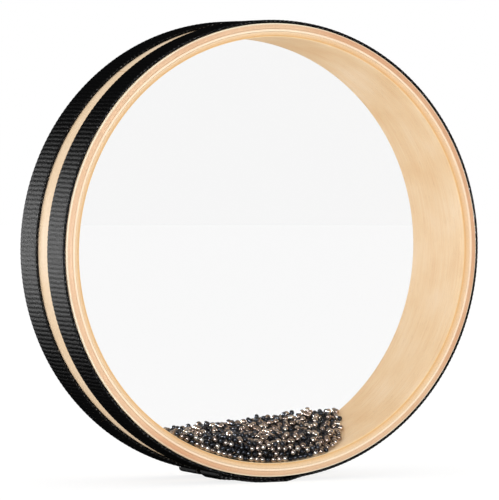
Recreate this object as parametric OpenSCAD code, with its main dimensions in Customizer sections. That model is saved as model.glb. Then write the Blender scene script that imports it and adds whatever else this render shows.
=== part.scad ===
// Ocean drum, standing on its edge: a bent plywood hoop with a clear film head
// on each side, two webbing bands over the glued film, and loose steel shot inside.
// +Z is up, the front head faces -Y, and the origin is on the floor under the middle.

/* [Hoop] */
// Outer diameter of the bent wood hoop
hoop_d = 254; // [200:1:330]
// Depth of the hoop from crown to crown
hoop_depth = 66; // [50:1:90]
// Thickness of the outer and of the inner wood ply
face_ply_t = 3; // [2:0.1:4]
// Thickness of the pale ply between them
core_ply_t = 1.5; // [1:0.1:3]
// Glue line between two plies
glue_line = 0.1; // [0.05:0.01:0.2]
// Height of the rounded crown above the square part of the hoop's edge
crown_rise = 1.7; // [0.8:0.1:2.5]
// Glue gap at the seam where the two ends of a bent ply meet
seam_gap = 0.3; // [0.1:0.05:0.6]

/* [Heads] */
// Thickness of the clear film
film_t = 0.25; // [0.15:0.05:0.5]
// Glue between the film and the wood
film_glue = 0.05; // [0.03:0.01:0.1]
// Width of the collar, where the film is glued round the hoop
collar_w = 18; // [8:0.5:20]

/* [Bands] */
// Width of a band
band_w = 23.5; // [20:0.5:24]
// Thickness of the webbing
band_t = 1.6; // [1:0.1:2.5]
// Distance from the hoop's crown to the outer edge of a band
band_inset = 1.7; // [1:0.1:3]
// Glue between a band and the film's collar
band_glue = 0.05; // [0.03:0.01:0.1]
// Length of the ramp where a band climbs over its own start
ramp_l = 14; // [4:0.5:18]
// Length of a band's free end, along which it stands off
end_l = 12; // [8:1:20]
// How far the free end of the front band stands off
front_end_lift = 1.9; // [0.5:0.1:3]
// How far the free end of the rear band stands off
rear_end_lift = 0.6; // [0.3:0.1:3]
// How far the webbing is pressed flat where it stands
foot_press = 0.5; // [0.3:0.1:0.8]

/* [Shot] */
// Diameter of the bright balls
bright_d = 3.5; // [3:0.1:5]
// Diameter of the dark balls
dark_d = 3.1; // [3:0.1:5]
// Least gap between two balls
shot_gap = 0.06; // [0.05:0.01:0.2]
// Gap from the shot to the hoop and the heads
shot_clear = 0.3; // [0.2:0.05:0.6]
// Play left between two rows of balls, from front to back
row_play = 0.3; // [0.1:0.05:0.8]
// Height of the heap above the bottom of the hoop, behind the front head
heap_front_h = 9.5; // [6:0.5:22]
// Height of the heap above the bottom of the hoop, at the rear head
heap_rear_h = 19.5; // [6:0.5:26]
// Tilt of the heap's top behind the front head, down to the right
heap_front_tilt = 12; // [-15:0.5:15]
// Tilt of the heap's top at the rear head, down to the right
heap_rear_tilt = -5.5; // [-15:0.5:15]
// How uneven the top of the heap is
heap_rough = 2.4; // [0:0.2:4]

/* [Hidden] */

// one overrun for every cut
over = 1;
// facets of a drawn circle: the curves themselves are true ones
fine = 180;
ball_fine = 14;
// steps of the film's path across half the crown, and round the crown's corner
crown_steps = 8;
corner_steps = 4;

// the hoop in section: its plies from the inside out, and where each starts above the bore
ply_ts = [face_ply_t, core_ply_t, face_ply_t];
ply_from = [0, face_ply_t + glue_line, face_ply_t + core_ply_t + 2 * glue_line];
wall = ply_from[2] + face_ply_t;
hoop_r = hoop_d / 2;
bore_r = hoop_r - wall;
crown_x = hoop_r - wall / 2;
crown_r = (wall * wall / 4 + crown_rise * crown_rise) / (2 * crown_rise);
half_depth = hoop_depth / 2;

// where the seam of each ply lies, inner ply first, in degrees from +X through +Z
seam_at = [262, 20, 128];

// the bands, which overlap at the bottom of the drum
band_r = hoop_r + film_glue + film_t + band_glue;
lap_r = band_r + band_t;
rim_r = lap_r + band_t;
axis_z = rim_r - foot_press;
// where a band's end lies over its start: angles from straight down, to +X
front_lap = [-16, 2.2];
rear_lap = [-14, 8];

// the shot: rows of balls from front to back, in four groups that roll apart
groups = 4;
dark_share = 0.52;
seed = 21;
most_in_row = 260;
near = 4;
tiny = 0.001;
// how far apart the rows' first balls may lie, in degrees round the hoop
first_spread = 4;
shot_y = half_depth + film_glue - shot_clear;
row_count = floor(2 * shot_y / (max(bright_d, dark_d) + shot_gap + row_play));
row_pitch = 2 * shot_y / row_count;
bowl_r = bore_r - shot_clear;

// a shape on the drum's axis, with its own Z along the axis and its Y up
module on_axis() {
    translate([0, 0, axis_z]) rotate([90, 0, 0]) children();
}

// one half of a mirrored pair: side 1 is the front, -1 the rear
module facing(side) {
    if (side > 0) children();
    else mirror([0, 0, 1]) children();
}

// the hoop's section on one side of the axis, with its two rounded crowns
module hoop_section() {
    translate([bore_r, crown_rise - half_depth])
        square([wall, hoop_depth - 2 * crown_rise]);
    for (end = [-1, 1])
        intersection() {
            translate([crown_x, end * (half_depth - crown_r)]) circle(r = crown_r, $fn = fine);
            translate([bore_r, end > 0 ? 0 : -half_depth]) square([wall, half_depth]);
        }
}

// one bent ply, counted from the inside, open by its glue gap at the seam
module ply(i) {
    ply_r = bore_r + ply_from[i];
    open_angle = seam_gap / ply_r * 180 / PI;
    on_axis() rotate([0, 0, seam_at[i] + open_angle / 2])
        rotate_extrude(angle = 360 - open_angle, $fn = fine) intersection() {
            hoop_section();
            translate([ply_r, -half_depth]) square([ply_ts[i], hoop_depth]);
        }
}

// points of an arc round c, from angle a to b in degrees
function arc(c, r, a, b, steps) =
    [for (i = [0:steps]) let (t = a + (b - a) * i / steps) c + r * [cos(t), sin(t)]];

// the path of the film at a distance off from the wood: across the crown,
// round its corner and along the hoop, with Y counted from the middle of the drum
function film_path(off) =
    let (
        lean = asin(wall / 2 / crown_r),
        crown_c = [crown_x, half_depth - crown_r],
        corner = [hoop_r, half_depth - crown_rise],
        lip = half_depth - band_inset - collar_w
    )
    concat(
        [[0, half_depth + off]],
        arc(crown_c, crown_r + off, 90, 90 - lean, crown_steps),
        arc(corner, off, 90 - lean, 0, corner_steps),
        [[hoop_r + off, lip]]
    );

function reversed(list) = [for (i = [len(list) - 1:-1:0]) list[i]];

// a film head: a flat clear disc, drawn over the crown and glued round the hoop
module head(side) {
    color([0.93, 0.95, 0.96, 0.35]) on_axis() facing(side)
        rotate_extrude($fn = fine)
            polygon(concat(film_path(film_glue + film_t), reversed(film_path(film_glue))));
}

// a point at radius r, at an angle from straight down towards +X
function below(r, a) = [r * sin(a), -r * cos(a)];

// the outline of a lap: square where the webbing ends, and sloping down to the turn
// below where it climbs over its own end
module lap_outline(lap) {
    ramp = ramp_l / lap_r * 180 / PI;
    polygon([
        [0, 0],
        below(2 * rim_r, lap[0]),
        below(2 * rim_r, (lap[0] + lap[1]) / 2),
        below(2 * rim_r, lap[1] - ramp / 2),
        below(rim_r + band_t / 2, lap[1] - ramp / 2),
        below(lap_r + band_t / 2, lap[1] + ramp / 2),
        below(lap_r - band_t / 2, lap[1] + 3 * ramp / 2)
    ]);
}

// the outline of a band's free end: it stands off by its lift and lies down further on
module end_outline(lap, lift) {
    lie = end_l / rim_r * 180 / PI;
    polygon([
        below(lap_r, lap[0] - lie / 2),
        below(rim_r + lift, lap[0] - lie / 2),
        below(rim_r + lift, lap[0]),
        below(rim_r + lift / 2, lap[0] + lie / 2),
        below(rim_r - band_t / 2, lap[0] + lie)
    ]);
}

// a webbing band: one turn, whose end lies over its start from lap[0] to lap[1],
// with a ramp where it climbs there, pressed flat at the bottom
module band(side, lap, lift) {
    color([0.12, 0.12, 0.13]) on_axis() facing(side)
        translate([0, 0, half_depth - band_inset - band_w])
            difference() {
                union() {
                    cylinder(r = lap_r, h = band_w, $fn = fine);
                    intersection() {
                        union() {
                            cylinder(r = rim_r, h = band_w, $fn = fine);
                            linear_extrude(height = band_w) end_outline(lap, lift);
                        }
                        linear_extrude(height = band_w) lap_outline(lap);
                    }
                }
                translate([0, 0, -over]) cylinder(r = band_r, h = band_w + 2 * over, $fn = fine);
                translate([-rim_r, -axis_z - 2 * rim_r, -over])
                    cube([2 * rim_r, 2 * rim_r, band_w + 2 * over]);
            }
}

// the heap's top in one row, at a distance x from the middle: most of the change
// from the front's shape to the rear's lies close behind the front head
function heap_top(x, row, wobble) =
    let (
        back = sqrt((row + 0.5) / row_count),
        h = heap_front_h + (heap_rear_h - heap_front_h) * back,
        tilt = heap_front_tilt + (heap_rear_tilt - heap_front_tilt) * back
    )
    h - bore_r - x * tan(tilt) + heap_rough * (wobble - 0.5);

// where two circles meet, on the left hand of the way from p to q
function meet(p, rp, q, rq) =
    let (d = norm(q - p))
    d >= rp + rq || d <= abs(rp - rq) ? undef :
    let (u = (q - p) / d, s = (d * d + rp * rp - rq * rq) / (2 * d), h = sqrt(rp * rp - s * s))
    p + u * s + h * [-u.y, u.x];

// a ball is [x, z, radius, dark]; its centre alone
function centre(ball) = [ball[0], ball[1]];

// how far a ball of radius r stands from one that it touches
function reach(ball, r) = ball[2] + r + shot_gap;

// the place where a ball of radius r rests after ball i of the row's upper edge,
// on two balls, or on the hoop and one ball at either end; undef if it doesn't fit
function rest_place(edge, i, r) =
    let (
        last = len(edge) - 1,
        a = edge[max(i, 0)],
        b = edge[min(i + 1, last)],
        wall_r = bowl_r - r,
        place = i < 0 ? meet(centre(b), reach(b, r), [0, 0], wall_r)
            : i == last ? meet([0, 0], wall_r, centre(a), reach(a, r))
            : meet(centre(a), reach(a, r), centre(b), reach(b, r))
    )
    place == undef || norm(place) > wall_r + tiny ? undef :
    min([for (j = [max(i - near, 0):min(i + 1 + near, last)])
        norm(place - centre(edge[j])) - reach(edge[j], r)]) < -tiny ? undef : place;

// the row's upper edge without the neighbours of ball k that no ball can touch now
function trimmed(edge, k) =
    [for (j = [0:len(edge) - 1])
        if (j == k || abs(j - k) > 1
            || rest_place(edge, j - 1, dark_d / 2) != undef
            || rest_place(edge, j, dark_d / 2) != undef)
        edge[j]];

function placed_after(edge, i, ball) =
    concat([for (j = [0:1:i]) edge[j]], [ball], [for (j = [i + 1:1:len(edge) - 1]) edge[j]]);

// the lowest of the open places where a ball of radius r meets no other, or undef
function lowest_clear(places, open, balls, r) =
    len(open) == 0 ? undef :
    let (
        low = min([for (i = open) places[i].y]),
        i = [for (i = open) if (places[i].y == low) i][0]
    )
    min([for (b = balls) norm(places[i] - centre(b)) - reach(b, r)]) < -tiny
        ? lowest_clear(places, [for (j = open) if (j != i) j], balls, r) : i;

// drops balls one by one into a row, each in the lowest place below the heap's top
function heaped(edge, balls, row, chance) =
    let (
        n = len(balls),
        dark = chance[n] < dark_share,
        r = (dark ? dark_d : bright_d) / 2,
        places = [for (i = [-1:len(edge) - 1]) rest_place(edge, i, r)],
        open = [for (i = [0:len(places) - 1])
            if (places[i] != undef
                && places[i].y < heap_top(places[i].x, row, chance[most_in_row + n])) i],
        i = lowest_clear(places, open, balls, r)
    )
    i == undef || n >= most_in_row ? balls :
    let (ball = [places[i].x, places[i].y, r, dark])
    heaped(trimmed(placed_after(edge, i - 1, ball), i), concat(balls, [ball]), row, chance);

// every ball of one row; the first lies near the bottom of the hoop
function row_balls(row) =
    let (
        chance = rands(0, 1, 2 * most_in_row, seed + row),
        at = below(bowl_r - bright_d / 2, first_spread * (chance[0] - 0.5)),
        first = [at.x, at.y, bright_d / 2, false]
    )
    heaped([first], [first], row, chance);

// the balls of one finish in a group of rows, each a little off its row's middle
module shot(group, dark) {
    from = floor(group * row_count / groups);
    to = floor((group + 1) * row_count / groups) - 1;
    for (row = [from:to]) {
        balls = row_balls(row);
        stray = rands(-1, 1, len(balls), seed + row_count + row);
        row_y = (row + 0.5) * row_pitch - shot_y;
        for (k = [0:len(balls) - 1])
            if (balls[k][3] == dark) {
                play = (row_pitch - shot_gap) / 2 - balls[k][2];
                translate([balls[k][0], row_y + play * stray[k], axis_z + balls[k][1]])
                    sphere(r = balls[k][2], $fn = ball_fine);
            }
    }
}

module bright_shot(group) {
    color([0.72, 0.66, 0.58]) shot(group, false);
}

module dark_shot(group) {
    color([0.2, 0.21, 0.25]) shot(group, true);
}

module hoop_outer_ply() {
    color([0.86, 0.66, 0.47]) ply(2);
}

module hoop_middle_ply() {
    color([0.93, 0.79, 0.62]) ply(1);
}

module hoop_inner_ply() {
    color([0.89, 0.72, 0.53]) ply(0);
}

hoop_outer_ply();
hoop_middle_ply();
hoop_inner_ply();
head(1);  // front_head
head(-1);  // rear_head
band(1, front_lap, front_end_lift);  // front_band
band(-1, rear_lap, rear_end_lift);  // rear_band
bright_shot(0);  // front_bright_shot
dark_shot(0);  // front_dark_shot
bright_shot(1);  // front_inner_bright_shot
dark_shot(1);  // front_inner_dark_shot
bright_shot(2);  // rear_inner_bright_shot
dark_shot(2);  // rear_inner_dark_shot
bright_shot(3);  // rear_bright_shot
dark_shot(3);  // rear_dark_shot
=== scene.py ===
import math

import bmesh
import bpy
import numpy as np
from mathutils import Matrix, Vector


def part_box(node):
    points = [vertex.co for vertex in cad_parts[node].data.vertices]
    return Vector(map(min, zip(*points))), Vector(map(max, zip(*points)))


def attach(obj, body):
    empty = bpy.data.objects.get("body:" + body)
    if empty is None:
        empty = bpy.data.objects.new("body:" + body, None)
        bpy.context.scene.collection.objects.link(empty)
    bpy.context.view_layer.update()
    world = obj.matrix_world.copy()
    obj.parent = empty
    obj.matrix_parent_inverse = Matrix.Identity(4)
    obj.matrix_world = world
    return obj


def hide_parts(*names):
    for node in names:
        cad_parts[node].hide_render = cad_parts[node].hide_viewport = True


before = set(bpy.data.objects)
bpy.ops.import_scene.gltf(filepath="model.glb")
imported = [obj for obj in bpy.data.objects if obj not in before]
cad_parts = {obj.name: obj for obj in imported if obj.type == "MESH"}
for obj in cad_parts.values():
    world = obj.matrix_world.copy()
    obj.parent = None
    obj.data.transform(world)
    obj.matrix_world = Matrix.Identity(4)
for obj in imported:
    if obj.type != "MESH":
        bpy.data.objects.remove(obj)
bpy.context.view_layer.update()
mm = 0.001
plainWhite = (1, 1, 1, 1)

# the drum's own sizes, read from the frame: its axis runs along Y at this height
axisHeight = sum(corner.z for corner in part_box("hoop_outer_ply")) / 2
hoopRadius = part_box("hoop_outer_ply")[1].x
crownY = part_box("hoop_middle_ply")[1].y
axisPoint = Vector((0, 0, axisHeight))


# an sRGB hex colour as linear RGBA
def linear(hexColour):
    parts = [int(hexColour[i:i + 2], 16) / 255 for i in (1, 3, 5)]
    return [p / 12.92 if p <= 0.04045 else ((p + 0.055) / 1.055) ** 2.4 for p in parts] + [1.0]


# a new node with its settings, its inputs set or linked, and a ramp's stops if it has them
def addNode(tree, kind, inputs=None, stops=None, **settings):
    node = tree.nodes.new(kind)
    for name, value in settings.items():
        setattr(node, name, value)
    for key, value in (inputs or {}).items():
        if isinstance(value, bpy.types.NodeSocket):
            tree.links.new(value, node.inputs[key])
        else:
            node.inputs[key].default_value = value
    if stops:
        ramp = node.color_ramp.elements
        while len(ramp) < len(stops):
            ramp.new(0.5)
        for element, (place, hexColour) in zip(ramp, stops):
            element.position = place
            element.color = linear(hexColour)
    return node


# an empty node material, its tree and its output
def newMaterial(name):
    material = bpy.data.materials.new(name)
    material.use_nodes = True
    tree = material.node_tree
    tree.nodes.clear()
    return material, tree, addNode(tree, "ShaderNodeOutputMaterial")


# A mesh object from an (n, 3) array of places and a list of faces, with a UV per face corner and a
# number per vertex for each attribute. Edges sharper than sharpAngle degrees stay crisp.
def meshPiece(name, vertices, faces, uvs=None, attributes=None, sharpAngle=40):
    mesh = bpy.data.meshes.new(name)
    mesh.from_pydata(vertices.tolist(), [], faces)
    if uvs is not None:
        mesh.uv_layers.new(name="surface").data.foreach_set("uv", np.asarray(uvs, np.float32).ravel())
    for key, values in (attributes or {}).items():
        layer = mesh.attributes.new(key, "FLOAT", "POINT")
        layer.data.foreach_set("value", np.asarray(values, np.float32).ravel())
    mesh.polygons.foreach_set("use_smooth", np.ones(len(mesh.polygons), bool))
    mesh.set_sharp_from_angle(angle=math.radians(sharpAngle))
    mesh.update()
    piece = bpy.data.objects.new(name, mesh)
    bpy.context.scene.collection.objects.link(piece)
    return piece


# The quads of a grid of rows by columns points, joined round where it wraps, and for each corner its
# row and column counted on past the wrap, for a UV without a jump.
def gridFaces(rows, columns, wrapRows, wrapColumns):
    i, j = np.meshgrid(np.arange(rows if wrapRows else rows - 1),
                       np.arange(columns if wrapColumns else columns - 1), indexing="ij")
    rowCorners = np.stack([i, i + 1, i + 1, i], -1).reshape(-1, 4)
    columnCorners = np.stack([j, j, j + 1, j + 1], -1).reshape(-1, 4)
    faces = (rowCorners % rows) * columns + columnCorners % columns
    return faces, rowCorners, columnCorners


# points at a radius from the drum's axis, at an angle from +X through +Z, at depth y
def onAxis(radius, angle, y):
    radius, angle, y = np.broadcast_arrays(radius, angle, y)
    return np.stack([radius * np.cos(angle), y, axisHeight + radius * np.sin(angle)], -1)


# the length along a profile up to each of its points, and its whole length
def arcLength(profile, closed=True):
    ahead = np.roll(profile, -1, 0) if closed else profile[1:]
    steps = np.linalg.norm(ahead - profile[:len(ahead)], axis=1)
    return np.concatenate([[0], np.cumsum(steps)])


print("camera and light")
view = {"distance": 2.4, "azimuth": -25.27, "elevation": 1.96, "focalPixels": 4238.0,
        "framePixels": 499.0, "sensor": 36.0, "shiftRight": -0.0043, "shiftUp": -0.0029}


# the photograph's camera: a long lens to the left of the drum's axis and a little above it
def makeCamera():
    az, el = math.radians(view["azimuth"]), math.radians(view["elevation"])
    away = Vector((math.sin(az) * math.cos(el), -math.cos(az) * math.cos(el), math.sin(el)))
    data = bpy.data.cameras.new("camera")
    data.sensor_fit = "HORIZONTAL"
    data.sensor_width = view["sensor"]
    data.lens = view["focalPixels"] / view["framePixels"] * view["sensor"]
    data.shift_x = view["shiftRight"]
    data.shift_y = view["shiftUp"]
    camera = bpy.data.objects.new("camera", data)
    camera.location = axisPoint + away * view["distance"]
    camera.rotation_euler = (-away).to_track_quat("-Z", "Y").to_euler()
    bpy.context.scene.collection.objects.link(camera)
    bpy.context.scene.camera = camera


# The room's strength on matt things, and as glossy ones mirror it before and behind the drum. The last
# two are the directions in Y between which these two blend.
room = {"matt": 0.81, "mirrored": 0.14, "behind": 0.28, "mirroredTo": -0.25, "behindFrom": 0.45}
# watts, place from the drum's middle, width and height in metres, and then whether a lamp shows in
# glossy reflections and whether it lights what is matt
lamps = {"left_strip": (52.0, (-0.7, 1.1, -0.02), (0.6, 0.3), True, False),
         "left_softbox": (0.7, (-1.4, 0.1, 0.0), (0.4, 0.5), True, True),
         "right_fill": (4.5, (1.4, -1.2, 0.25), (0.6, 0.6), False, True),
         "key_softbox": (6.0, (-1.6, -1.2, 0.15), (0.9, 0.6), True, True),
         "low_fill": (2.2, (-0.2, -0.95, -0.02), (0.5, 0.22), True, True),
         "shot_glint": (5.0, (-0.45, -0.95, -0.03), (0.3, 0.2), True, False),
         "edge_glint": (27.0, (-1.2, 0.5, 0.0), (0.6, 0.3), True, False),
         "rear_glint": (12.0, (1.5, 0.5, 0.1), (0.5, 0.4), True, False)}
sweep = {"radius": 5.0, "spokes": 96, "tone": "#F4F4F4", "mirroredTone": "#989898",
         "seenGlow": 0.75, "bouncedGlow": 0.18, "glow": 1.115}


# a softbox that faces the drum
def makeLamp(name, watts, place, size, glints, matt):
    data = bpy.data.lights.new(name, "AREA")
    data.shape = "RECTANGLE"
    data.size, data.size_y = size
    data.energy = watts
    lamp = bpy.data.objects.new(name, data)
    lamp.location = axisPoint + Vector(place)
    lamp.rotation_euler = (-Vector(place)).to_track_quat("-Z", "Y").to_euler()
    lamp.visible_camera = False
    lamp.visible_diffuse = matt
    lamp.visible_glossy = glints
    bpy.context.scene.collection.objects.link(lamp)


# A white room that lights the drum evenly. What is seen directly is plain white, but in polished metal
# and on film only a dim room is mirrored, a little lighter behind the drum, as round a photographer's
# table, so that the lamps show there as clear glints.
def makeWorld():
    world = bpy.data.worlds.new("studio")
    bpy.context.scene.world = world
    world.use_nodes = True
    tree = world.node_tree
    tree.nodes.clear()
    path = addNode(tree, "ShaderNodeLightPath")
    way = addNode(tree, "ShaderNodeTexCoord")
    parts = addNode(tree, "ShaderNodeSeparateXYZ", {0: way.outputs["Generated"]})
    dim = addNode(tree, "ShaderNodeMapRange", {
        "Value": parts.outputs["Y"], "From Min": room["mirroredTo"], "From Max": room["behindFrom"],
        "To Min": room["mirrored"], "To Max": room["behind"]})
    matt = addNode(tree, "ShaderNodeBackground", {"Color": plainWhite, "Strength": room["matt"]})
    glossy = addNode(tree, "ShaderNodeBackground", {"Color": plainWhite, "Strength": dim.outputs["Result"]})
    direct = addNode(tree, "ShaderNodeBackground", {"Color": plainWhite, "Strength": 1.0})
    bounced = addNode(tree, "ShaderNodeMixShader", {
        0: path.outputs["Is Glossy Ray"], 1: matt.outputs[0], 2: glossy.outputs[0]})
    seen = addNode(tree, "ShaderNodeMath", {
        0: path.outputs["Is Camera Ray"], 1: path.outputs["Is Transmission Ray"]}, operation="MAXIMUM")
    mixed = addNode(tree, "ShaderNodeMixShader", {
        0: seen.outputs[0], 1: bounced.outputs[0], 2: direct.outputs[0]})
    addNode(tree, "ShaderNodeOutputWorld", {"Surface": mixed.outputs[0]})


# A pale sweep, as a disc: most of what is seen of it glows plain white, and the rest is lit paper that
# keeps the drum's shadow. Glossy things mirror it dimly, as they do the room.
def makeFloor():
    spokes = sweep["spokes"]
    turn = np.arange(spokes) * 2 * np.pi / spokes
    ring = np.stack([np.cos(turn), np.sin(turn), np.zeros(spokes)], -1) * sweep["radius"]
    floor = meshPiece("floor", ring, [list(range(spokes))])
    material, tree, output = newMaterial("white_paper_sweep")
    path = addNode(tree, "ShaderNodeLightPath")
    seen = addNode(tree, "ShaderNodeMath", {
        0: path.outputs["Is Camera Ray"], 1: path.outputs["Is Transmission Ray"]}, operation="MAXIMUM")
    share = addNode(tree, "ShaderNodeMath", {
        0: seen.outputs[0], 1: sweep["seenGlow"]}, operation="MULTIPLY")
    share = addNode(tree, "ShaderNodeMath", {
        0: path.outputs["Is Diffuse Ray"], 1: sweep["bouncedGlow"], 2: share.outputs[0]},
        operation="MULTIPLY_ADD")
    tone = addNode(tree, "ShaderNodeMix", {
        "Factor": path.outputs["Is Glossy Ray"], "A": linear(sweep["tone"]),
        "B": linear(sweep["mirroredTone"])}, data_type="RGBA")
    paper = addNode(tree, "ShaderNodeBsdfDiffuse", {"Color": tone.outputs["Result"]})
    glow = addNode(tree, "ShaderNodeEmission", {"Color": plainWhite, "Strength": sweep["glow"]})
    mixed = addNode(tree, "ShaderNodeMixShader", {
        0: share.outputs[0], 1: paper.outputs[0], 2: glow.outputs[0]})
    tree.links.new(mixed.outputs[0], output.inputs["Surface"])
    floor.data.materials.append(material)


bpy.context.scene.view_settings.view_transform = "Standard"
makeCamera()
makeWorld()
makeFloor()
for lampName, lampValues in lamps.items():
    makeLamp(lampName, *lampValues)

print("hoop")
hoop = {"facePly": 3.0 * mm, "corePly": 1.5 * mm, "crownRise": 1.7 * mm,
        "easing": 0.12 * mm, "easingAcross": 0.3,
        "spokes": 720, "crownPoints": 15, "facePoints": 9,
        "seams": {"hoop_inner_ply": 262, "hoop_middle_ply": 20, "hoop_outer_ply": 128},  # degrees
        "seamDepth": 0.06 * mm, "seamWidth": 0.35 * mm, "seamRoom": 1.2,
        # places across the seam, in its widths, and how deep it lies there
        "seamForm": ((-1.0, 0.0), (-0.4, 0.6), (0.0, 1.0), (0.4, 0.6), (1.0, 0.0))}
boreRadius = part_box("hoop_inner_ply")[1].x - hoop["facePly"]
wallMiddle = (boreRadius + hoopRadius) / 2
halfWall = (hoopRadius - boreRadius) / 2
crownRadius = (halfWall ** 2 + hoop["crownRise"] ** 2) / (2 * hoop["crownRise"])


# How far the rounded crown reaches in Y at a radius: a circle's arc across the whole wall, so
# y = crownY - crownRadius + root(crownRadius^2 - (radius - wallMiddle)^2).
def crownHeight(radius):
    return crownY - crownRadius + np.sqrt(crownRadius ** 2 - (radius - wallMiddle) ** 2)


# A ply in section, as a closed loop of (radius, y): across the front crown, back along the outer face,
# across the rear crown and forward along the inner face, with its corners eased.
def plyProfile(inner, outer):
    ease, points = hoop["easing"], hoop["facePoints"]
    inset = ease * hoop["easingAcross"]
    across = inner + (outer - inner) * (1 - np.cos(np.linspace(0, np.pi, hoop["crownPoints"]))) / 2
    across = np.clip(across, inner + inset, outer - inset)
    crown = crownHeight(across)
    along = np.linspace(-1, 1, points)
    outerFace = (crownHeight(outer) - ease) * along
    innerFace = (crownHeight(inner) - ease) * along[::-1]
    return np.concatenate([
        np.stack([across, -crown], -1),
        np.stack([np.full(points, outer), outerFace], -1),
        np.stack([across[::-1], crown[::-1]], -1),
        np.stack([np.full(points, inner), innerFace], -1)])


# A ply's profile carried round the drum's axis: point (i, j) is profile point j turned to the angle of
# spoke i. Its UV is the length round the hoop and the length along the profile, in metres. At the
# ply's seam the profile sinks by a hair towards its own middle.
def turnedPly(name, profile, seamAt):
    at, width = math.radians(seamAt), hoop["seamWidth"] / hoopRadius
    places, depths = np.array(hoop["seamForm"]).T
    angle = np.arange(hoop["spokes"]) * 2 * np.pi / hoop["spokes"]
    angle = angle[np.abs(angle - at) > hoop["seamRoom"] * width]
    seam = np.concatenate([np.zeros(len(angle)), depths])
    angle = np.concatenate([angle, at + width * places])
    order = np.argsort(angle)
    angle, seam = angle[order], seam[order]
    inward = profile.mean(0) - profile
    inward = inward / np.linalg.norm(inward, axis=1)[:, None] * hoop["seamDepth"]
    section = profile[None] + seam[:, None, None] * inward[None]
    points = onAxis(section[..., 0], angle[:, None], section[..., 1])
    rows, columns = points.shape[:2]
    faces, rowCorners, columnCorners = gridFaces(rows, columns, True, True)
    turns = np.append(angle, angle[0] + 2 * np.pi)
    uvs = np.stack([turns[rowCorners] * hoopRadius, arcLength(profile)[columnCorners]], -1)
    return meshPiece(name, points.reshape(-1, 3), faces.tolist(), uvs.reshape(-1, 2),
                     {"seam": np.repeat(seam, columns)})


# each Range is where a noise starts to count and where it counts in full
wood = {"faceTones": {"hoop_inner_ply": ("#F0CC9F", "#F7DAB2", "#FCE4C4"),
                      "hoop_middle_ply": ("#F3D9B6", "#F7E0C0", "#FBE8CC"),
                      "hoop_outer_ply": ("#F0D1AB", "#F3D7B4", "#F6DEC0")},
        # across the rounded crown, from the bore to the outside: the crest's pale stripe is in part a
        # painted highlight of the film's gloss, and the cream at the outer edge is a painted highlight on
        # the corner
        "crownTones": [(0.0, "#F3D8B2"), (0.035, "#EFCDA2"), (0.08, "#E0AD78"), (0.15, "#E5BC91"),
                       (0.31, "#E8C5A3"), (0.37, "#EDCDAC"), (0.42, "#F5DABE"), (0.48, "#F9E1CC"),
                       (0.54, "#F1D3B9"), (0.6, "#E2B897"), (0.84, "#DEB091"), (0.9, "#E5BD9E"),
                       (0.95, "#F6DEC5"), (1.0, "#FCEBD5")],
        "crownFrom": (-0.05 * mm, 0.2 * mm),  # past the shoulder, where its tones start and are full
        # length along the hoop, width across it and detail of each kind of mark
        "marks": {"streak": (45 * mm, 1.1 * mm, 5.0), "pore": (4.5 * mm, 0.42 * mm, 1.0),
                  "speck": (0.9 * mm, 0.55 * mm, 2.0)},
        "markRoughness": 0.6, "patch": 26 * mm, "grainRange": (0.7, 1.3),
        "poreRange": (0.64, 0.76), "poreTone": "#B98A58", "poreShare": 0.45,
        "speckRange": (0.3, 0.7), "speckFactors": (0.9, 1.08),
        # broad clouds of tone on the crown, as factors of its colour, and painted light that leans them
        # lighter on the left
        "cloud": 55 * mm, "cloudRange": (0.38, 0.62), "paintedLightLean": 0.09,
        "darkCloud": (0.92, 0.85, 0.76, 1), "lightCloud": (1.04, 1.14, 1.12, 1),
        "cloudShare": {"hoop_inner_ply": 0.25, "hoop_middle_ply": 0.25, "hoop_outer_ply": 1.0},
        "seamTone": "#C49868", "seamOnCrown": 0.25, "relief": 0.06 * mm, "reliefStrength": 0.25,
        "roughness": (0.5, 0.64), "ior": 1.5, "specular": 0.01}
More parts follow.
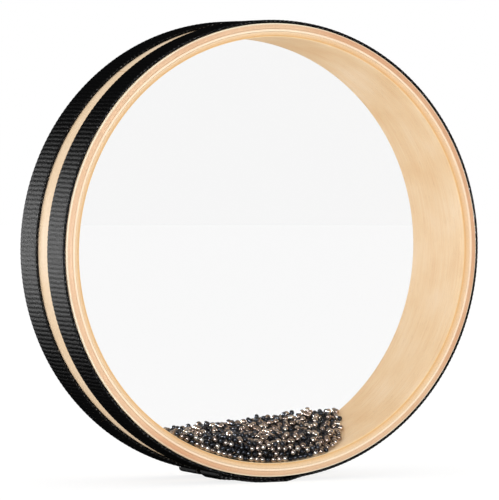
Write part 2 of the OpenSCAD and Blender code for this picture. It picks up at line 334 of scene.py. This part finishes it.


# Maple veneer, peeled, bent round a form, glued in three plies and sanded: pale, close-grained wood
# with a low sheen. Long streaks run round the hoop, with broader patches of tone and short pores. On
# the rounded crown the plies' edges show, palest at the crest, where the film first touches, which is in
# part a painted highlight of the film's gloss, and pinkish outside it, where the glue wets the wood, with
# a painted highlight on the outer corner, fine specks of end grain, and broad clouds with painted light
# that makes them lighter on the left.
def woodMaterial(node):
    material, tree, output = newMaterial(node.replace("hoop_", "maple_veneer_sanded_"))
    uv = addNode(tree, "ShaderNodeUVMap", uv_map="surface")
    place = addNode(tree, "ShaderNodeTexCoord").outputs["Object"]
    marks = {}
    for mark, (markLength, markWidth, detail) in wood["marks"].items():
        spread = addNode(tree, "ShaderNodeMapping", {
            "Vector": uv.outputs[0], "Scale": (1 / markLength, 1 / markWidth, 1)})
        noise = addNode(tree, "ShaderNodeTexNoise", {
            "Vector": spread.outputs[0], "Scale": 1.0, "Detail": detail,
            "Roughness": wood["markRoughness"]})
        marks[mark] = noise.outputs["Fac"]
    patches = addNode(tree, "ShaderNodeTexNoise", {
        "Vector": place, "Scale": 1 / wood["patch"], "Detail": 2.0})
    grain = addNode(tree, "ShaderNodeMath", {0: marks["streak"], 1: patches.outputs["Fac"]})
    grain = addNode(tree, "ShaderNodeMapRange", {
        "Value": grain.outputs[0], "From Min": wood["grainRange"][0],
        "From Max": wood["grainRange"][1]}).outputs[0]
    low, middle, high = wood["faceTones"][node]
    face = addNode(tree, "ShaderNodeValToRGB", {"Fac": grain},
                   stops=[(0.0, low), (0.5, middle), (1.0, high)])
    pit = addNode(tree, "ShaderNodeMapRange", {
        "Value": marks["pore"], "From Min": wood["poreRange"][0],
        "From Max": wood["poreRange"][1]}).outputs[0]
    pitShare = addNode(tree, "ShaderNodeMath", {0: pit, 1: wood["poreShare"]}, operation="MULTIPLY")
    face = addNode(tree, "ShaderNodeMix", {
        "Factor": pitShare.outputs[0], "A": face.outputs[0], "B": linear(wood["poreTone"])},
        data_type="RGBA").outputs["Result"]

    # the crown's tone goes by how far out it is in the wall
    parts = addNode(tree, "ShaderNodeSeparateXYZ", {0: place})
    height = addNode(tree, "ShaderNodeMath", {0: parts.outputs["Z"], 1: axisHeight}, operation="SUBTRACT")
    flat = addNode(tree, "ShaderNodeCombineXYZ", {"X": parts.outputs["X"], "Y": height.outputs[0]})
    radius = addNode(tree, "ShaderNodeVectorMath", {0: flat.outputs[0]}, operation="LENGTH")
    across = addNode(tree, "ShaderNodeMapRange", {
        "Value": radius.outputs["Value"], "From Min": boreRadius, "From Max": hoopRadius})
    crown = addNode(tree, "ShaderNodeValToRGB", {"Fac": across.outputs[0]}, stops=wood["crownTones"])
    mottled = addNode(tree, "ShaderNodeMapRange", {
        "Value": marks["speck"], "From Min": wood["speckRange"][0], "From Max": wood["speckRange"][1],
        "To Min": wood["speckFactors"][0], "To Max": wood["speckFactors"][1]})
    clouds = addNode(tree, "ShaderNodeTexNoise", {
        "Vector": place, "Scale": 1 / wood["cloud"], "Detail": 1.0})
    # painted light: the clouds are pushed lighter towards the left, -X
    clouds = addNode(tree, "ShaderNodeMath", {
        0: parts.outputs["X"], 1: -wood["paintedLightLean"] / hoopRadius, 2: clouds.outputs["Fac"]},
        operation="MULTIPLY_ADD")
    spare = 0.5 - 0.5 * wood["cloudShare"][node]
    clouds = addNode(tree, "ShaderNodeMapRange", {
        "Value": clouds.outputs[0], "From Min": wood["cloudRange"][0], "From Max": wood["cloudRange"][1],
        "To Min": spare, "To Max": 1 - spare})
    clouded = addNode(tree, "ShaderNodeMix", {
        "Factor": clouds.outputs[0], "A": wood["darkCloud"], "B": wood["lightCloud"]}, data_type="RGBA")
    clouded = addNode(tree, "ShaderNodeVectorMath", {
        0: mottled.outputs[0], 1: clouded.outputs["Result"]}, operation="MULTIPLY")
    crown = addNode(tree, "ShaderNodeVectorMath", {
        0: crown.outputs[0], 1: clouded.outputs[0]}, operation="MULTIPLY")

    # the crown starts at the shoulder, and a seam is fainter on it
    depth = addNode(tree, "ShaderNodeMath", {0: parts.outputs["Y"]}, operation="ABSOLUTE")
    shoulder = crownY - hoop["crownRise"]
    onCrown = addNode(tree, "ShaderNodeMapRange", {
        "Value": depth.outputs[0], "From Min": shoulder + wood["crownFrom"][0],
        "From Max": shoulder + wood["crownFrom"][1]})
    both = addNode(tree, "ShaderNodeMix", {
        "Factor": onCrown.outputs[0], "A": face, "B": crown.outputs[0]}, data_type="RGBA")
    seam = addNode(tree, "ShaderNodeAttribute", attribute_name="seam")
    shown = addNode(tree, "ShaderNodeMapRange", {
        "Value": onCrown.outputs[0], "To Min": 1.0, "To Max": wood["seamOnCrown"]})
    joint = addNode(tree, "ShaderNodeMath", {
        0: seam.outputs["Fac"], 1: shown.outputs[0]}, operation="MULTIPLY")
    jointed = addNode(tree, "ShaderNodeMix", {
        "Factor": joint.outputs[0], "A": both.outputs["Result"], "B": linear(wood["seamTone"])},
        data_type="RGBA")
    relief = addNode(tree, "ShaderNodeMath", {0: grain, 1: pit}, operation="SUBTRACT")
    bump = addNode(tree, "ShaderNodeBump", {
        "Height": relief.outputs[0], "Strength": wood["reliefStrength"], "Distance": wood["relief"]})
    rough = addNode(tree, "ShaderNodeMapRange", {
        "Value": grain, "To Min": wood["roughness"][0], "To Max": wood["roughness"][1]})
    surface = addNode(tree, "ShaderNodeBsdfPrincipled", {
        "Base Color": jointed.outputs["Result"], "Roughness": rough.outputs[0], "IOR": wood["ior"],
        "Specular IOR Level": wood["specular"], "Normal": bump.outputs[0]})
    tree.links.new(surface.outputs[0], output.inputs["Surface"])
    return material


# the three plies of the hoop, each in its own place across the wall
def makePlies():
    step = {"hoop_inner_ply": boreRadius,
            "hoop_middle_ply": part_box("hoop_middle_ply")[1].x - hoop["corePly"],
            "hoop_outer_ply": hoopRadius - hoop["facePly"]}
    for node, inner in step.items():
        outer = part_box(node)[1].x
        ply = turnedPly(node.replace("hoop_", "bent_"), plyProfile(inner, outer), hoop["seams"][node])
        ply.data.materials.append(woodMaterial(node))
        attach(ply, "drum")
        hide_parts(node)


makePlies()

print("heads")
film = {"thickness": 0.25 * mm, "glue": 0.05 * mm, "collar": abs(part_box("front_head")[1].y),
        "spokes": 360, "flatRadii": (0, 20 * mm, 60 * mm, 100 * mm, 115 * mm), "crownPoints": 18,
        "cornerPoints": 6, "collarMiddle": 24 * mm, "sharpAngle": 50, "merge": 1e-7,
        "tint": "#FDFDFD", "ior": 1.5, "mirrorShare": 0.13, "roughness": 0.22}


# The film's path at an offset from the wood, as (radius, y) from the middle of the head outwards: flat
# to the crest, then the crown's own arc made larger by the offset, an arc of that offset round the
# crown's corner, and straight back along the hoop to the collar's edge.
def filmPath(offset):
    lean = math.asin(halfWall / crownRadius)
    flat = np.array([[radius, crownY + offset] for radius in film["flatRadii"]])
    swing = np.linspace(0, lean, film["crownPoints"])
    crown = np.stack([wallMiddle + (crownRadius + offset) * np.sin(swing),
                      crownY - crownRadius + (crownRadius + offset) * np.cos(swing)], -1)
    turn = np.linspace(lean, np.pi / 2, film["cornerPoints"])[1:]
    corner = np.stack([hoopRadius + offset * np.sin(turn),
                       crownY - hoop["crownRise"] + offset * np.cos(turn)], -1)
    back = np.array([[hoopRadius + offset, film["collarMiddle"]], [hoopRadius + offset, film["collar"]]])
    return np.concatenate([flat, crown, corner, back])


# merges the points that meet on the axis and turns every face outwards
def closePoles(piece):
    work = bmesh.new()
    work.from_mesh(piece.data)
    bmesh.ops.remove_doubles(work, verts=work.verts, dist=film["merge"])
    bmesh.ops.recalc_face_normals(work, faces=work.faces)
    work.to_mesh(piece.data)
    work.free()


# A film head: the film's outer path out and its inner path back, carried round the drum's axis. Each
# face closes on the axis, and the two meet at the collar's edge.
def makeHead(node, side):
    profile = np.concatenate([filmPath(film["glue"] + film["thickness"]), filmPath(film["glue"])[::-1]])
    profile[:, 1] *= side
    angle = np.arange(film["spokes"]) * 2 * np.pi / film["spokes"]
    points = onAxis(profile[None, :, 0], angle[:, None], profile[None, :, 1])
    faces, rowCorners, columnCorners = gridFaces(*points.shape[:2], True, False)
    uvs = np.stack([rowCorners / film["spokes"], arcLength(profile, False)[columnCorners]], -1)
    head = meshPiece("film_" + node, points.reshape(-1, 3), faces.tolist(), uvs.reshape(-1, 2),
                     sharpAngle=film["sharpAngle"])
    closePoles(head)
    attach(head, "drum")
    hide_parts(node)
    return head


# Polyester film, extruded, stretched and glued under tension: clear and softly glossy, with the faint
# grey of its thickness. A face mirrors only from its own outside, and lamps reach what is behind it.
def filmMaterial():
    material, tree, output = newMaterial("polyester_film_stretched")
    path = addNode(tree, "ShaderNodeLightPath")
    mirror = addNode(tree, "ShaderNodeFresnel", {"IOR": film["ior"]})
    back = addNode(tree, "ShaderNodeNewGeometry").outputs["Backfacing"]
    hidden = addNode(tree, "ShaderNodeMath", {
        0: path.outputs["Is Shadow Ray"], 1: back}, operation="MAXIMUM")
    seen = addNode(tree, "ShaderNodeMapRange", {
        "Value": hidden.outputs[0], "To Min": film["mirrorShare"], "To Max": 0.0})
    share = addNode(tree, "ShaderNodeMath", {
        0: mirror.outputs[0], 1: seen.outputs[0]}, operation="MULTIPLY")
    clear = addNode(tree, "ShaderNodeBsdfTransparent", {"Color": linear(film["tint"])})
    gloss = addNode(tree, "ShaderNodeBsdfGlossy", {"Color": plainWhite, "Roughness": film["roughness"]})
    mixed = addNode(tree, "ShaderNodeMixShader", {
        0: share.outputs[0], 1: clear.outputs[0], 2: gloss.outputs[0]})
    tree.links.new(mixed.outputs[0], output.inputs["Surface"])
    return material


clearFilm = filmMaterial()
for headNode, headSide in (("front_head", -1), ("rear_head", 1)):
    makeHead(headNode, headSide).data.materials.append(clearFilm)

print("bands")
webbing = {"seeds": {"front_band": 3, "rear_band": 4}, "width": 23.5 * mm, "thickness": 1.6 * mm,
           "girth": 52 * mm,  # the way round the section
           "gap": 0.35 * mm,  # from the hoop, for the film and the glue
           # ribs across the strip, in columns of yarn along it that are each shifted a little
           "ribPitch": 2.7 * mm, "ribHeight": 0.28 * mm, "ribPower": 0.9, "samplesPerRib": 6,
           "columns": 7, "yarnPower": 1.2, "betweenYarns": 0.25, "shift": 0.4 * mm, "shiftWaves": 60,
           # half-round edges, thinner than the middle, with a loop at each rib and not quite straight
           "flatTo": 0.445, "flatPoints": 31, "edgePlaces": (0.46, 0.48, 0.5), "thinFrom": 0.44,
           "edgeDrop": 0.1, "dropPower": 1.5, "edgePoints": 5, "bottomPoints": 4,
           "edgeLoop": 0.22 * mm, "edgeRound": 0.45 * mm,
           "wander": 0.15 * mm, "wanderShare": 0.6, "wanderWaves": 23, "waveFade": 6,
           # each strip starts at the second angle from straight down and ends at the first, on itself
           "laps": {"front_band": (-16.0, 2.2), "rear_band": (-14.0, 8.0)}, "ramp": 14.0 * mm,
           "endLength": 12.0 * mm, "endLifts": {"front_band": 1.9 * mm, "rear_band": 0.6 * mm},
           "endRound": {"front_band": 3.8 * mm, "rear_band": 1.5 * mm}, "noseClosed": 0.97,
           # painted shade: what the grooves lose of the glint and of the ground's tone between the columns,
           # what they lose more in a column, and what the folded end loses
           "grooveShade": (0.1, 0.9), "foldShade": 0.6, "glintPower": 0.5,
           # painted highlights: light specks that stand in for glints on the edges' loops, from their foot
           # up
           "speckReach": 1.1, "speckGain": 3, "speckPower": 2,
           # a filament bundle along and across the strip, and tones and shares from groove to rib, the
           # groove's dark tone being painted shade
           "bundle": (1.1 * mm, 0.45 * mm), "bundleRange": (0.3, 0.7), "tones": ("#010101", "#0D0D0E"),
           "glintShares": (0.002, 0.0145), "glintRoughness": 0.58, "roughness": 0.85,
           "speckRange": (0.54, 0.66), "paintedGlintTone": "#6A6A6C", "speckShare": 0.04,
           "relief": 0.1 * mm, "reliefStrength": 0.5, "sharpAngle": 70}


# a smooth random line between -1 and 1: a sum of sines of random phase, the shorter the weaker
def slowWave(rng, count, waves):
    at = np.linspace(0, 2 * np.pi, count)
    line = sum(np.sin(k * at + rng.uniform(0, 6.28)) / (1 + k / webbing["waveFade"])
               for k in range(1, waves))
    return line / np.abs(line).max()


# The webbing in section, as a closed loop of (share across the width, share up the thickness): a strip
# that thins towards its half-round edges, its top first. The third column is 1 on the woven faces and
# less towards the foot of each edge, where it also paints shade.
def strapSection():
    inside = np.linspace(-webbing["flatTo"], webbing["flatTo"], webbing["flatPoints"])
    outside = np.array(webbing["edgePlaces"])
    across = np.concatenate([-outside[::-1], inside, outside])
    past = np.clip((np.abs(across) - webbing["thinFrom"]) / (0.5 - webbing["thinFrom"]), 0, 1)
    thinner = webbing["edgeDrop"] * past ** webbing["dropPower"]
    turn = np.linspace(np.pi / 2, -np.pi / 2, webbing["edgePoints"] + 2)[1:-1]
    edge = np.full(len(turn), 0.5)
    height = (0.5 + 0.5 * np.sin(turn)) * (1 - webbing["edgeDrop"])
    weave = np.sqrt(0.5 + 0.5 * np.sin(turn))
    below = np.linspace(0.5, -0.5, webbing["bottomPoints"])
    return np.concatenate([
        np.stack([across, 1 - thinner, np.ones(len(across))], -1),
        np.stack([edge, height, weave], -1),
        np.stack([below, below * 0, below * 0], -1),
        np.stack([-edge, height[::-1], weave[::-1]], -1)])


# The strip's own path: one turn on the hoop, then a smooth ramp up and over its own beginning. The free
# end is folded under, so it thickens, and its nose closes as a quarter of an ellipse. Given are, for
# each place along the strip, its length so far, angle, inner radius, thickness, fold and nose.
def strapPath(node):
    start, thickness = hoopRadius + webbing["gap"], webbing["thickness"]
    outside = start + thickness
    lapFrom, lapTo = (math.radians(a) for a in webbing["laps"][node])
    rampAngle = webbing["ramp"] / outside
    turnAngle = 2 * np.pi + lapTo - lapFrom
    ribs = int(round(turnAngle * outside / webbing["ribPitch"]))
    run = np.linspace(0, turnAngle, ribs * webbing["samplesPerRib"] + 1)
    climb = np.clip((run - (2 * np.pi - rampAngle)) / rampAngle, 0, 1)
    inner = start + climb * climb * (3 - 2 * climb) * thickness
    toEnd = (turnAngle - run) * outside
    fold = np.clip(1 - toEnd / webbing["endLength"], 0, 1)
    nose = np.clip(1 - toEnd / webbing["endRound"][node], 0, webbing["noseClosed"])
    thick = (thickness + webbing["endLifts"][node] * fold) * np.sqrt(1 - nose ** 2)
    return run * outside, lapTo - run - np.pi / 2, inner, thick, fold, nose


# A webbing band, as its section carried along the strip's path. Its surface is lowered by the ribs' wave,
# |cos(pi length / pitch)|, most in the middle of a column of yarn and little between two columns. Each
# rib ends as a small loop at both edges, where light specks, painted highlights of the loops, sit low
# down.
def makeBand(node, seed):
    rng = np.random.default_rng(seed)
    low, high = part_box(node)
    middle = (low.y + high.y) / 2
    side = -1 if middle < 0 else 1
    length, angle, inner, thick, fold, nose = (line[:, None] for line in strapPath(node))
    section = strapSection()
    share, up, woven = section.T[:, None]
    count, columns = len(length), len(section)
    # a place on the border of two columns is in the one before it
    column = np.floor((share[0] + 0.5) * webbing["columns"] - 1e-9).astype(int)
    column = np.clip(column, 0, webbing["columns"] - 1)
    shift = [slowWave(rng, count, webbing["shiftWaves"]) for _ in range(webbing["columns"])]
    shift = np.stack(shift, -1)
    phase = 2 * np.pi * (length + webbing["shift"] * shift[:, column]) / webbing["ribPitch"]
    rib = np.abs(np.cos(phase / 2))
    loops = 0.5 + 0.5 * np.cos(phase)
    yarn = np.abs(np.sin((share + 0.5) * webbing["columns"] * np.pi)) ** webbing["yarnPower"]
    groove = webbing["betweenYarns"] + (1 - webbing["betweenYarns"]) * yarn
    relief = webbing["ribHeight"] * (rib ** webbing["ribPower"] - 1) * groove * woven
    wander = webbing["wander"] * slowWave(rng, count, webbing["wanderWaves"])[:, None]

    onEdge = np.isclose(np.abs(share), 0.5)
    level = np.clip(up / (1 - webbing["edgeDrop"]), 0, 1)
    roundEdge = webbing["edgeRound"] * np.sqrt(np.clip(1 - (2 * level - 1) ** 2, 0, 1)) * onEdge
    reach = webbing["edgeLoop"] * loops * onEdge + roundEdge
    flatHalf = webbing["width"] / 2 - webbing["edgeLoop"] - webbing["edgeRound"] - webbing["wander"]
    y = side * (share * 2 * flatHalf + np.sign(share) * reach) + middle + wander * webbing["wanderShare"]
    points = onAxis(inner + up * thick + relief, angle, y)
    points[..., 2] = np.maximum(points[..., 2], 0.0)  # pressed flat where the drum stands

    faces, rowCorners, columnCorners = gridFaces(count, columns, False, True)
    steps = np.abs(np.diff(section[:, :2], axis=0)) @ [webbing["width"], webbing["thickness"]]
    across = np.concatenate([[0], np.cumsum(steps), [webbing["girth"]]])
    uvs = np.stack([length[rowCorners, 0], across[columnCorners]], -1)
    ends = [list(range(columns)), list(range((count - 1) * columns, count * columns))[::-1]]
    uvs = np.concatenate([uvs.reshape(-1, 2), np.zeros((2 * columns, 2))])
    # painted shade: the grooves, the foot of each edge and the folded end darken the ground's tone and
    # weaken its glint
    shade = webbing["grooveShade"][0] + webbing["grooveShade"][1] * yarn
    lit = 1 - (1 - rib ** webbing["glintPower"]) * shade
    lit = lit * woven * (1 - np.maximum(nose, webbing["foldShade"] * fold))
    # painted highlights: light specks on each edge's loops, most at its foot
    specks = onEdge * (webbing["speckReach"] - level) * loops ** webbing["speckPower"]
    specks = np.clip(webbing["speckGain"] * specks, 0, 1)
    band = meshPiece("webbing_" + node, points.reshape(-1, 3), faces.tolist() + ends, uvs,
                     {"rib": lit, "edge": specks}, sharpAngle=webbing["sharpAngle"])
    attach(band, "drum")
    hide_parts(node)
    return band


# Black polypropylene webbing, woven from flat filament yarn: a very dark ground with a wide, soft
# glint on the crown of each rib, where the filaments lie side by side. Ground and glint are painted darker
# in the grooves, towards the foot of each edge and along the folded end, as painted shade, and the light
# specks along the edges are painted highlights.
def webbingMaterial():
    material, tree, output = newMaterial("polypropylene_webbing_woven")
    uv = addNode(tree, "ShaderNodeUVMap", uv_map="surface")
    rib = addNode(tree, "ShaderNodeAttribute", attribute_name="rib")
    spread = addNode(tree, "ShaderNodeMapping", {
        "Vector": uv.outputs[0], "Scale": (1 / webbing["bundle"][0], 1 / webbing["bundle"][1], 1)})
    yarn = addNode(tree, "ShaderNodeTexNoise", {"Vector": spread.outputs[0], "Scale": 1.0, "Detail": 3.0})
    lit = addNode(tree, "ShaderNodeMapRange", {
        "Value": yarn.outputs["Fac"], "From Min": webbing["bundleRange"][0],
        "From Max": webbing["bundleRange"][1]})
    # painted shade: the rib attribute darkens the ground's tone in the grooves, at the edges' foot and the
    # fold
    lit = addNode(tree, "ShaderNodeMath", {0: lit.outputs[0], 1: rib.outputs["Fac"]}, operation="MULTIPLY")
    colour = addNode(tree, "ShaderNodeValToRGB", {"Fac": lit.outputs[0]},
                     stops=list(enumerate(webbing["tones"])))
    # painted highlights: the light speck tone on the edges' loops
    edge = addNode(tree, "ShaderNodeAttribute", attribute_name="edge")
    speck = addNode(tree, "ShaderNodeMapRange", {
        "Value": yarn.outputs["Fac"], "From Min": webbing["speckRange"][0],
        "From Max": webbing["speckRange"][1]})
    speck = addNode(tree, "ShaderNodeMath", {
        0: speck.outputs[0], 1: edge.outputs["Fac"]}, operation="MULTIPLY")
    fibre = addNode(tree, "ShaderNodeMix", {
        "Factor": speck.outputs[0], "A": colour.outputs[0], "B": linear(webbing["paintedGlintTone"])},
        data_type="RGBA")
    bump = addNode(tree, "ShaderNodeBump", {
        "Height": yarn.outputs["Fac"], "Strength": webbing["reliefStrength"],
        "Distance": webbing["relief"]})
    ground = addNode(tree, "ShaderNodeBsdfPrincipled", {
        "Base Color": fibre.outputs["Result"], "Roughness": webbing["roughness"],
        "Specular IOR Level": 0.0, "Normal": bump.outputs[0]})
    glint = addNode(tree, "ShaderNodeBsdfGlossy", {
        "Color": plainWhite, "Roughness": webbing["glintRoughness"], "Normal": bump.outputs[0]},
        distribution="BECKMANN")
    share = addNode(tree, "ShaderNodeMapRange", {
        "Value": lit.outputs[0], "To Min": webbing["glintShares"][0], "To Max": webbing["glintShares"][1]})
    share = addNode(tree, "ShaderNodeMath", {
        0: speck.outputs[0], 1: webbing["speckShare"], 2: share.outputs[0]}, operation="MULTIPLY_ADD")
    mixed = addNode(tree, "ShaderNodeMixShader", {
        0: share.outputs[0], 1: ground.outputs[0], 2: glint.outputs[0]})
    tree.links.new(mixed.outputs[0], output.inputs["Surface"])
    return material


blackWebbing = webbingMaterial()
for bandNode, bandSeed in webbing["seeds"].items():
    makeBand(bandNode, bandSeed).data.materials.append(blackWebbing)

print("shot")
shot = {"brightRadius": 1.75 * mm, "darkRadius": 1.55 * mm, "sides": 3, "binShare": 0.4,
        # of each group's bright and dark balls
        "seeds": {"front": (11, 31), "front_inner": (12, 32), "rear_inner": (13, 33), "rear": (14, 34)},
        # roughness of the clean steel, what scuffs add to it, and each tone from dull to clean
        "bright": (0.05, 0.06, [(0.0, "#978A81"), (0.4, "#BBADA5"), (0.8, "#D7CCC5"), (1.0, "#E9E3DE")]),
        "dark": (0.14, 0.1, [(0.0, "#303238"), (0.5, "#464951"), (1.0, "#60646C")]),
        "scuffsPerMetre": 900.0, "scuffRange": (0.35, 0.7), "scuffTone": 0.25}


# The centres of a node's balls. Every corner of a triangle lies on its ball, so the centre is as far
# behind the triangle's circumcentre as root(radius^2 - circumradius^2). The estimates that fall
# together are one ball.
def ballCentres(node, radius):
    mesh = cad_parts[node].data
    places = np.zeros(len(mesh.vertices) * 3, np.float32)
    mesh.vertices.foreach_get("co", places)
    mesh.calc_loop_triangles()
    corners = np.zeros(len(mesh.loop_triangles) * 3, np.int32)
    mesh.loop_triangles.foreach_get("vertices", corners)
    a, b, c = places.reshape(-1, 3).astype(float)[corners.reshape(-1, 3)].transpose(1, 0, 2)
    ab, ac = b - a, c - a
    normal = np.cross(ab, ac)
    size = (normal ** 2).sum(1)
    good = size > 1e-18  # leaves out triangles without an area
    ab, ac, a, normal, size = ab[good], ac[good], a[good], normal[good], size[good]
    toMiddle = (np.cross(normal, ab) * (ac ** 2).sum(1)[:, None]
                + np.cross(ac, normal) * (ab ** 2).sum(1)[:, None]) / (2 * size)[:, None]
    depth = np.sqrt(np.maximum(radius ** 2 - (toMiddle ** 2).sum(1), 0))
    guesses = a + toMiddle - normal / np.sqrt(size)[:, None] * depth[:, None]
    bins = np.round(guesses / (shot["binShare"] * radius)).astype(int)
    member = np.unique(bins, axis=0, return_inverse=True)[1].ravel()
    tally = np.bincount(member)
    means = np.stack([np.bincount(member, guesses[:, k]) / tally for k in range(3)], -1)
    owner = (np.linalg.norm(means[:, None] - means[None], axis=2) < radius).argmax(1)
    weight = np.bincount(owner, tally, len(owner))
    centres = np.stack([np.bincount(owner, means[:, k] * tally, len(owner)) for k in range(3)], -1)
    kept = weight > 0
    return centres[kept] / weight[kept, None]


# A ball as a cube's six faces, each a grid of equal angles, pushed out to radius 1: the point at
# (s, t) of a face is (tan s, tan t, 1) made one long.
def roundBall(sides):
    steps = np.tan(np.linspace(-np.pi / 4, np.pi / 4, sides + 1))
    s, t = np.meshgrid(steps, steps, indexing="ij")
    face = np.stack([s, t, np.ones_like(s)], -1).reshape(-1, 3)
    turns = [face, face[:, [2, 0, 1]], face[:, [1, 2, 0]]]
    points = np.concatenate(turns + [-f for f in turns])
    quads, _, _ = gridFaces(sides + 1, sides + 1, False, False)
    quads = np.concatenate([quads + k * (sides + 1) ** 2 for k in range(3)]
                           + [quads[:, ::-1] + k * (sides + 1) ** 2 for k in range(3, 6)])
    points /= np.linalg.norm(points, axis=1)[:, None]
    # points that two faces share become one
    _, first, same = np.unique(np.round(points, 5), axis=0, return_index=True, return_inverse=True)
    return points[first], same.ravel()[quads]


# All the balls of one node as one mesh, smooth all over: the same round ball at each centre, turned at
# random, with its own tone.
def makeShot(node, body, bright, seed):
    rng = np.random.default_rng(seed)
    radius = shot["brightRadius"] if bright else shot["darkRadius"]
    centres = ballCentres(node, radius)
    unit, quads = roundBall(shot["sides"])
    spin = np.linalg.qr(rng.normal(size=(len(centres), 3, 3)))[0]
    spin *= np.sign(np.linalg.det(spin))[:, None, None]
    points = centres[:, None] + radius * np.einsum("nij,kj->nki", spin, unit)
    faces = quads[None] + (np.arange(len(centres)) * len(unit))[:, None, None]
    tone = np.repeat(rng.uniform(0, 1, len(centres)), len(unit))
    balls = meshPiece("balls_" + node, points.reshape(-1, 3), faces.reshape(-1, 4).tolist(),
                      attributes={"tone": tone}, sharpAngle=180)
    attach(balls, body)
    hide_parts(node)
    print(" ", node, len(centres), "balls")
    return balls


# Steel shot, rolled and tumbled. The bright balls are nickel plated, which is a little warm, and mirror
# what is round them; the dark ones are blackened and only glint. Each ball has its own tone, and fine
# scuffs from rubbing on its neighbours.
def ballMaterial(name, roughness, scuff, tones):
    material, tree, output = newMaterial(name)
    tone = addNode(tree, "ShaderNodeAttribute", attribute_name="tone")
    place = addNode(tree, "ShaderNodeTexCoord")
    scuffs = addNode(tree, "ShaderNodeTexNoise", {
        "Vector": place.outputs["Object"], "Scale": shot["scuffsPerMetre"], "Detail": 2.0})
    mixed = addNode(tree, "ShaderNodeMath", {
        0: scuffs.outputs["Fac"], 1: shot["scuffTone"], 2: tone.outputs["Fac"]}, operation="MULTIPLY_ADD")
    colour = addNode(tree, "ShaderNodeValToRGB", {"Fac": mixed.outputs[0]}, stops=tones)
    rough = addNode(tree, "ShaderNodeMapRange", {
        "Value": scuffs.outputs["Fac"], "From Min": shot["scuffRange"][0],
        "From Max": shot["scuffRange"][1], "To Min": roughness, "To Max": roughness + scuff})
    surface = addNode(tree, "ShaderNodeBsdfPrincipled", {
        "Base Color": colour.outputs[0], "Metallic": 1.0, "Roughness": rough.outputs[0]})
    tree.links.new(surface.outputs[0], output.inputs["Surface"])
    return material


nickelSteel = ballMaterial("nickel_plated_steel_tumbled", *shot["bright"])
blackSteel = ballMaterial("blackened_steel_tumbled", *shot["dark"])
for group, (brightSeed, darkSeed) in shot["seeds"].items():
    makeShot(group + "_bright_shot", group + "_shot", True, brightSeed).data.materials.append(nickelSteel)
    makeShot(group + "_dark_shot", group + "_shot", False, darkSeed).data.materials.append(blackSteel)
